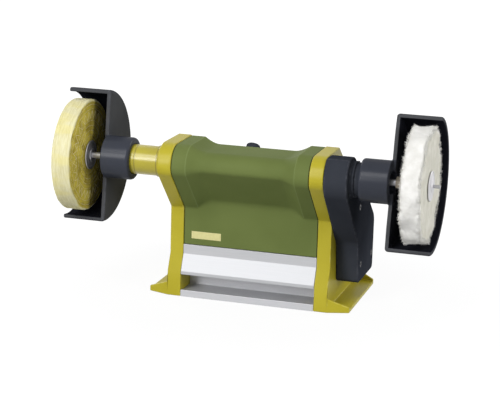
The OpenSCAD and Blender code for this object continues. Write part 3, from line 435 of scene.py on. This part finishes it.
def gathered(shapes, batch=60):
    """One mesh of many small shapes. A shape is a function that adds itself to a mesh. They run in small
    batches, which is much faster than one by one."""
    whole = bmesh.new()
    for start in range(0, len(shapes), batch):
        part = bmesh.new()
        for shape in shapes[start:start + batch]:
            shape(part)
        mesh = bpy.data.meshes.new("batch")
        part.to_mesh(mesh)
        part.free()
        whole.from_mesh(mesh)
        bpy.data.meshes.remove(mesh)
    return whole


def long_runs(edges, least):
    """The edges that join up into runs at least so far across. Small holes drop out."""
    left, kept = dict.fromkeys(edges), []
    while left:
        run, front = [], [left.popitem()[0]]
        while front:
            edge = front.pop()
            run.append(edge)
            for near in [e for vert in edge.verts for e in vert.link_edges if e in left]:
                del left[near]
                front.append(near)
        ends = [vert.co for edge in run for vert in edge.verts]
        if max(max(c[i] for c in ends) - min(c[i] for c in ends) for i in range(3)) >= least:
            kept += run
    return kept


def facing(face, digits=2):
    """The direction of a face, rounded."""
    return tuple(round(n, digits) for n in face.normal)


def fill_again(bm, faces, normal):
    """Takes the faces of one flat area out and fills its outline with triangles."""
    edges = dict.fromkeys(edge for face in faces for edge in face.edges)
    bmesh.ops.delete(bm, geom=faces, context="FACES_ONLY")
    bmesh.ops.delete(bm, geom=[e for e in edges if not e.link_faces], context="EDGES")
    rim = [e for e in edges if e.is_valid and len(e.link_faces) == 1]
    bmesh.ops.triangle_fill(bm, use_beauty=True, use_dissolve=False, edges=rim, normal=normal)


def unfold(bm):
    """Fills a flat end again where the frame's triangles fold over its outline."""
    ends = {}
    for face in bm.faces:
        places = [v.co.x / mm for v in face.verts]
        if max(places) - min(places) < 0.002:
            ends.setdefault(round(places[0], 2), []).append(face)
    for faces in ends.values():
        if len({face.normal.x > 0 for face in faces}) > 1:
            outward = math.copysign(1, faces[0].verts[0].co.x)
            fill_again(bm, faces, X_AXIS * outward)


def refill(bm):
    """Fills the flat faces with many corners once more, because such a face may fold over a hole."""
    planes = {}
    for face in bm.faces:
        if len(face.verts) > 20:
            level = round(face.normal.dot(face.verts[0].co) / mm, 2)
            planes.setdefault((facing(face, 3), level), []).append(face)
    for faces in planes.values():
        fill_again(bm, faces, faces[0].normal.copy())


def turns(edge, degrees):
    """True where the two faces of an edge meet at more than that many degrees."""
    return len(edge.link_faces) == 2 and edge.calc_face_angle(0) > math.radians(degrees)


def softened(node, radius, first=None, sharp=30, least=16 * mm, crisp=None, material=None):
    """A copy of a CAD node with its edges rounded, which stands for it. It rounds the edges that turn by more
    than sharp degrees, in runs at least so far across. first is a radius and a test for edges that are
    rounded more. The narrow faces that a rounding adds carry the mark edge, where a finish shows wear,
    unless an old face looks the same way. Long creases that turn by more than crisp degrees stay crisp,
    if no narrow face is beside them."""
    bm = bmesh.new()
    bm.from_mesh(frame["nodes"][node].data)
    bmesh.ops.remove_doubles(bm, verts=bm.verts, dist=0.004 * mm)
    if node == "housing_shell":
        unfold(bm)
    bmesh.ops.dissolve_limit(bm, angle_limit=math.radians(0.6), verts=bm.verts, edges=bm.edges)
    mark = bm.faces.layers.float.new("edge")
    narrow = bm.faces.layers.int.new("narrow")
    for size, test, segments in ([(*first, 5)] if first else []) + [(radius, None, 3)]:
        edges = [e for e in bm.edges if turns(e, sharp)]
        edges = [e for e in long_runs(edges, least) if test is None or test(e)]
        before = {facing(face) for face in bm.faces}
        rounded = bmesh.ops.bevel(bm, geom=edges, offset=size, offset_type="OFFSET", segments=segments,
                                  profile=0.5, affect="EDGES", clamp_overlap=False, material=-1)
        for face in rounded["faces"]:
            if face.calc_area() < size * max(edge.calc_length() for edge in face.edges):
                face[narrow] = 1
                face.normal_update()
                face[mark] = float(facing(face) not in before)
    refill(bm)
    crease = bm.edges.layers.int.new("crease")
    for edge in bm.edges:
        long = edge.calc_length() > 5 * mm
        if crisp and long and turns(edge, crisp) and not any(face[narrow] for face in edge.link_faces):
            edge[crease] = 1
    piece = finished(bm, node + "_looks", BODY_OF[node], SLOT_OF[node], [node], material)
    for edge, kept in zip(piece.data.edges, piece.data.attributes["crease"].data):
        if kept.value:
            edge.use_edge_sharp = True
    even = piece.modifiers.new("even_shading", "WEIGHTED_NORMAL")
    even.keep_sharp = True


# Camera at the photograph's angle, 500 by 400
AZIMUTH, ELEVATION, ROLL = math.radians(16.313), math.radians(13.645), math.radians(1.647)
TARGET, DISTANCE = Vector((4.391, -67, 99.05)) * mm, 1444.176 * mm
FOCAL_PIXELS, PICTURE_PIXELS, SENSOR = 1643.086, 500, 36
back = Vector((math.sin(AZIMUTH) * math.cos(ELEVATION), -math.cos(AZIMUTH) * math.cos(ELEVATION),
               math.sin(ELEVATION)))
camera = bpy.data.objects.new("camera", bpy.data.cameras.new("camera"))
scene.collection.objects.link(camera)
camera.data.sensor_width = SENSOR
camera.data.lens = FOCAL_PIXELS / PICTURE_PIXELS * SENSOR
camera.data.clip_start, camera.data.clip_end = 0.05, 60
camera.location = TARGET + back * DISTANCE
camera.rotation_mode = "QUATERNION"
camera.rotation_quaternion = (-back).to_track_quat("-Z", "Y") @ Quaternion((0, 0, 1), ROLL)
scene.camera = camera


def lamp(name, place, aim, size, power):
    """A round area lamp of that diameter and so many watts."""
    light = bpy.data.lights.new(name, "AREA")
    light.shape = "DISK"
    light.size = size
    light.energy = power
    made = bpy.data.objects.new(name, light)
    scene.collection.objects.link(made)
    made.location = place
    made.rotation_mode = "QUATERNION"
    made.rotation_quaternion = (Vector(aim) - Vector(place)).to_track_quat("-Z", "Y")


lamp("key", (-0.45, -1.45, 1.45), (0, -0.03, 0.08), 0.9, 17)
lamp("front", (-0.7, -1.75, 0.75), (0, -0.03, 0.1), 0.7, 16.5)
lamp("right", (1.8, -0.75, 0.7), (0, -0.03, 0.1), 0.9, 15)
lamp("rear_left", (-1.4, 1.3, 1.0), (0, 0, 0.1), 1.0, 10)
lamp("rear_right", (1.4, 1.2, 1.0), (0, 0, 0.1), 1.0, 10)


# The rays that see the room and the bench white
WHITE_FOR = ("Is Camera Ray", "Is Glossy Ray", "Is Transmission Ray")


def white_room():
    """A white world for the camera and for gloss, and a plain grey one that lights the object."""
    world = bpy.data.worlds.new("room")
    scene.world = world
    world.use_nodes = True
    nodes, links = world.node_tree.nodes, world.node_tree.links
    nodes.clear()
    rays = nodes.new("ShaderNodeLightPath")
    lit, seen = nodes.new("ShaderNodeBackground"), nodes.new("ShaderNodeBackground")
    lit.inputs["Strength"].default_value = 0.22
    for shade in (lit, seen):
        shade.inputs["Color"].default_value = (1, 1, 1, 1)
    mix, out = nodes.new("ShaderNodeMixShader"), nodes.new("ShaderNodeOutputWorld")
    share = rays.outputs[WHITE_FOR[0]]
    for ray in WHITE_FOR[1:]:
        either = nodes.new("ShaderNodeMath")
        links.new(share, either.inputs[0])
        links.new(rays.outputs[ray], either.inputs[1])
        share = either.outputs[0]
    links.new(share, mix.inputs[0])
    links.new(lit.outputs[0], mix.inputs[1])
    links.new(seen.outputs[0], mix.inputs[2])
    links.new(mix.outputs[0], out.inputs[0])


def bench():
    """A white floor that keeps the object's shadow near it and fades to the white room."""
    bm = bmesh.new()
    bmesh.ops.create_circle(bm, cap_ends=True, segments=96, radius=6)
    mesh = bpy.data.meshes.new("bench")
    bm.to_mesh(mesh)
    bm.free()
    floor = bpy.data.objects.new("bench", mesh)
    scene.collection.objects.link(floor)
    f = Finish("bench_white")
    f.paint((0.4, 0.4, 0.4, 1), 0.9)
    glow = f.node("Emission", None, {"Color": (1, 1, 1, 1), "Strength": 1.1}, "Emission")
    reach = f.node("VectorMath", {"operation": "LENGTH"}, [f.place], "Value")
    camera_ray, glossy_ray, passing_ray = [f.node("LightPath", output=name) for name in WHITE_FOR]
    seen = camera_ray + glossy_ray + passing_ray
    share = (f.step(reach, 0.12, 0.45) * 0.15 + 0.85) * seen
    mixed = f.node("MixShader", None, [share, Amount(f, f.shader.outputs[0]), glow])
    f.tree.links.new(mixed.socket, f.tree.nodes["Material Output"].inputs["Surface"])
    mesh.materials.append(f.material)


white_room()
bench()


# Radii of the sewn rings and of the zigzag between two of them, in millimetres
STITCH_RINGS = [17.5, 22, 26.5, 31, 41.5, 45.5]
ZIGZAG = (32.5, 40)


def drift(spin, outward):
    """How far, in millimetres, the sewn rings wander from a true circle there."""
    return 0.7 * ripple(spin, 1.7, -outward)


def quilted(r, a, outward):
    """How far the left wheel's face swells at a radius and an angle, and how much painted highlight it has
    there.
    """
    spin = heading(a)
    place = r / mm - drift(spin, outward)
    quilt = min(1, min(abs(place - ring) for ring in STITCH_RINGS) / 2)
    fold = ripple(spin, 5, r * 60)
    ply = ripple(spin, 2.5, r * 900)
    crease = max(0, 1 - abs(ripple(spin, 11, r * 90 + outward)) * 9)
    rise = (-0.6 + 0.6 * quilt + 0.8 * fold + 0.15 * ply - 0.4 * crease) * mm
    rise *= held((r / mm - 13) / 4)
    rise -= 0.7 * mm * max(0, 1 - r / mm / 20)
    return rise, held(quilt * 0.35 + fold * 0.7 + ply * 0.5)


def wheel_profile(side, round_r, rim_steps, face_steps):
    """Section of a wheel from the inner face's bore round the rim to the outer face's bore."""
    x0, x1, r = WHEEL_IN, WHEEL_OUT, WHEEL_R
    corner = [i / 5 * math.pi / 2 for i in range(6)]
    flat = r - round_r - WHEEL_BORE
    inner = [(x0, WHEEL_BORE + flat * i / face_steps) for i in range(face_steps)]
    near = [(x0 + round_r - round_r * math.cos(a), r - round_r + round_r * math.sin(a)) for a in corner]
    rim = [(x0 + round_r + (x1 - x0 - 2 * round_r) * i / rim_steps, r) for i in range(1, rim_steps)]
    half = inner + near
    mirrored = [(x0 + x1 - x, rr) for x, rr in reversed(half)]
    return [(side * x, rr) for x, rr in half + rim + mirrored]


def stitched_wheel():
    """The left wheel: stiff cotton discs sewn together in rings, with their cut edges as the rim."""
    side = -1
    bm = turned_mesh(wheel_profile(side, 1.6 * mm, 46, 60), 96)
    rim_mark = bm.verts.layers.float.new("rim")
    swell_highlight_mark = bm.verts.layers.float.new("swell_highlight")
    layers = 22
    for vert in bm.verts:
        r, a = about_spindle(vert)
        share = (abs(vert.co.x) - WHEEL_MIDDLE) / WHEEL_HALF
        spin = heading(a)
        if abs(share) <= 0.985:
            layer = (share + 1) / 2 * layers
            cut = abs((layer % 1) - 0.5) * 2
            groove = 1 - min(1, 2.2 * (1 - cut))
            ragged = ripple(spin, 9, math.floor(layer) * 5.1)
            vert[rim_mark] = 1
            out = 0.25 * ripple(spin, 2.2, 3 * share) - 0.28 * groove + 0.22 * ragged
            vert.co = point(vert.co.x, r + out * mm * min(1, (r / mm - 47) / 3), a)
        else:
            cut_edge = 48.1 + 1.3 * ripple(spin, 4, share * 7)
            vert[rim_mark] = held((r / mm - cut_edge) * 2)
            outward = math.copysign(1, share)
            # quilted also gives the share of painted highlight on the face, from its swell.
            rise, vert[swell_highlight_mark] = quilted(r, a, outward)
            vert.co = point(side * (WHEEL_MIDDLE + share * WHEEL_HALF + outward * rise), r, a)
    finished(bm, "left_wheel_cotton", "spindle_set", "treated_cotton", ["left_buff_wheel"], angle=60)
    sewing(side)


def sewing(side):
    """Thread on both faces of the left wheel: stitches along each ring, and a zigzag between two rings."""
    rand = random.Random(4)

    def on_face(outward, r, a):
        swell = quilted(r, a, outward)[0] + 0.06 * mm
        return point(side * (WHEEL_MIDDLE + outward * (WHEEL_HALF + swell)), r, a)

    def thread(bm, outward, start, end):
        rod(bm, on_face(outward, *start), on_face(outward, *end), 0.19 * mm, 0.19 * mm, 6, True)

    pairs = []
    for outward in (-1, 1):
        for ring in STITCH_RINGS:
            count = int(math.tau * ring / 3.6)
            for i in range(count):
                angle = math.tau * i / count
                r = (ring + drift(heading(angle), outward)) * mm
                ends = (r + rand.gauss(0, 0.1) * mm, angle), (r, math.tau * (i + 0.8) / count)
                pairs.append((outward, *ends))
        teeth, parts = 30, 4
        for i in range(2 * teeth):
            near, far = ZIGZAG if i % 2 else ZIGZAG[::-1]
            points = [((near + (far - near) * j / parts) * mm, math.pi / teeth * (i + j / parts))
                      for j in range(parts + 1)]
            pairs += [(outward, *ends) for ends in zip(points, points[1:])]
    bm = gathered([lambda bm, at=pair: thread(bm, *at) for pair in pairs])
    finished(bm, "left_wheel_stitches", "spindle_set", "treated_cotton", material=sewing_thread())


def frayed(spin, share):
    """How far, in millimetres, the right wheel's rim stands out there."""
    tufts = noise.fractal(spin * 4.5 + Vector((0, 0, share * 1.1)), 0.6, 2.1, 3)
    spikes = max(0, abs(share) - 0.6) / 0.4 * ripple(spin, 15, share * 3)
    return 0.4 * tufts + 3.8 * ripple(spin, 3.1, share * 0.5) + 3.0 * spikes - 0.6


def fluffy_wheel():
    """The right wheel: loose cotton discs that fray into tufts at the rim."""
    side = 1
    bm = turned_mesh(wheel_profile(side, 3.4 * mm, 30, 50), 100)
    rim_mark = bm.verts.layers.float.new("rim")
    for vert in bm.verts:
        r, a = about_spindle(vert)
        share = (abs(vert.co.x) - WHEEL_MIDDLE) / WHEEL_HALF
        spin = heading(a)
        out = max(0, (r / mm - 12) / 38)
        vert[rim_mark] = held((r / mm - 46.2) / 1.5) if abs(share) > 0.9 else 1
        grow = (frayed(spin, share) + 0.25 * ripple(spin, 42, share * 5)) * mm * out ** 3
        wave = (1.8 * ripple(spin, 3.1, r * 45 + 9 * (share > 0)) + 0.4 * ripple(spin, 9, r * 160)) * mm * out
        dish = -1.0 * mm * max(0, 1 - r / mm / 24)
        x = WHEEL_MIDDLE + share * WHEEL_HALF + math.copysign(1, share) * (abs(share) ** 3) * (wave + dish)
        vert.co = point(side * x, r + grow, a)
    finished(bm, "right_wheel_cotton", "spindle_set", "white_cotton", ["right_buff_wheel"], angle=80)
    fibres(side)


def fibres(side):
    """Frayed cotton at the rim and its two corners: thousands of small tapered strands."""
    rand = random.Random(11)
    count = 12000

    def strand(bm):
        a = rand.uniform(0, math.tau)
        share = rand.choice((rand.uniform(-1, 1), rand.gauss(-0.97, 0.08), rand.gauss(0.97, 0.08)))
        share = held(share, -1.03, 1.03)
        spin = heading(a)
        clump = ripple(spin, 8, share * 2)
        root_r = (48.6 + frayed(spin, share) - 2.2 * max(0, abs(share) - 0.8) * 5 * rand.random()) * mm
        length = rand.uniform(0.9, 2.4 + 1.6 * max(0, clump)) * mm
        root = point(side * (WHEEL_MIDDLE + share * WHEEL_HALF), root_r, a)
        radial = Vector((0, math.cos(a), math.sin(a)))
        along = X_AXIS * side * (share * rand.uniform(0, 0.9) + rand.gauss(0, 0.35))
        swirl = radial.cross(X_AXIS) * (rand.gauss(0, 0.5) + clump)
        aim = (radial + along + swirl).normalized()
        rod(bm, root, root + aim * length, rand.uniform(0.06, 0.16) * mm, 0.03 * mm, 3, False)

    bm = gathered([strand] * count)
    layer = bm.verts.layers.float.new("rim")
    for vert in bm.verts:
        vert[layer] = 1
    finished(bm, "right_wheel_fibres", "spindle_set", "white_cotton")


stitched_wheel()
fluffy_wheel()


# Bore and thickness of a pressed flange, in millimetres
BORE_R, FLANGE_W = 3.05, 2.6


def flange(node, side, face, outward, hub):
    """A pressed flange: flat against the wheel, with a rolled rim, a sunk ring and a raised hub. Its section
    is a list of depths and radii in millimetres."""
    bend = [math.pi * i / 8 for i in range(1, 9)]
    section = [(0, BORE_R), (0, 12.7)] + [(0.6 - 0.6 * math.cos(a), 12.6 + 0.6 * math.sin(a)) for a in bend]
    section += [(0.75, 11.6), (0.8, 11), (1.5, 9.4), (1.9, 7.4), (2.0, 6.2), (2.45, 5.9), (FLANGE_W, 5.6)]
    section += [(FLANGE_W, 4.7), (2.9, 4.6), (hub - 0.3, 4.6), (hub, 4.3)] if hub > FLANGE_W else []
    section += [(hub, BORE_R), (0, BORE_R)]
    bm = turned_mesh([(side * (face + outward * t * mm), r * mm) for t, r in section], 32)
    finished(bm, node + "_looks", "spindle_set", "plated_steel", [node], angle=24)


flange("left_inner_flange", -1, WHEEL_IN, -1, FLANGE_W)
flange("left_outer_flange", -1, WHEEL_OUT, 1, FLANGE_W)
flange("right_inner_flange", 1, WHEEL_IN, -1, 7.2)
flange("right_outer_flange", 1, WHEEL_OUT, 1, FLANGE_W)

# Two low beads turned on the left neck, beside its hood and beside the end plate
for name, x, r in (("outer_neck_bead", 100.8, 13.24), ("inner_neck_bead", 78.2, 14.04)):
    arc = [math.pi * i / 6 for i in range(7)]
    section = [(-(x + 0.5 * math.cos(a)) * mm, (r + 0.25 * math.sin(a)) * mm) for a in arc]
    finished(turned_mesh(section, 96, 0), name, "machine_body", "end_plate")


def disc_edge(edge):
    """True for the outer edge between a hood's disc and its rim."""
    return all(abs(abs(vert.co.x) - HOOD_IN) < 0.01 * mm and about_spindle(vert)[0] > 25 * mm
               for vert in edge.verts)


for node in ("left_end_plate", "right_end_plate"):
    softened(node, 0.8 * mm, sharp=35, least=40 * mm, crisp=12)
for node in ("left_hood", "right_hood"):
    softened(node, 1.0 * mm, (3 * mm, disc_edge), material=hood_black)
for node, radius in (("housing_shell", 0.7), ("rear_cover", 0.6)):
    softened(node, radius * mm, least=60 * mm, crisp=14)
softened("base_profile", 0.3 * mm, sharp=14, least=20 * mm)
for node, radius, least in (("belt_guard", 1.4, 24), ("speed_knob", 0.25, 6), ("switch_body", 0.35, 8),
                            ("switch_rocker", 0.6, 6), ("cable_gland", 0.3, 8), ("blank_badge", 0.12, 3)):
    softened(node, radius * mm, least=least * mm)

# Every CAD node that still shows takes its own finish or that of its slot
for node, piece in frame["nodes"].items():
    if not piece.hide_render:
        dress(piece, OWN_FINISH.get(node, FINISHES[SLOT_OF[node]]))
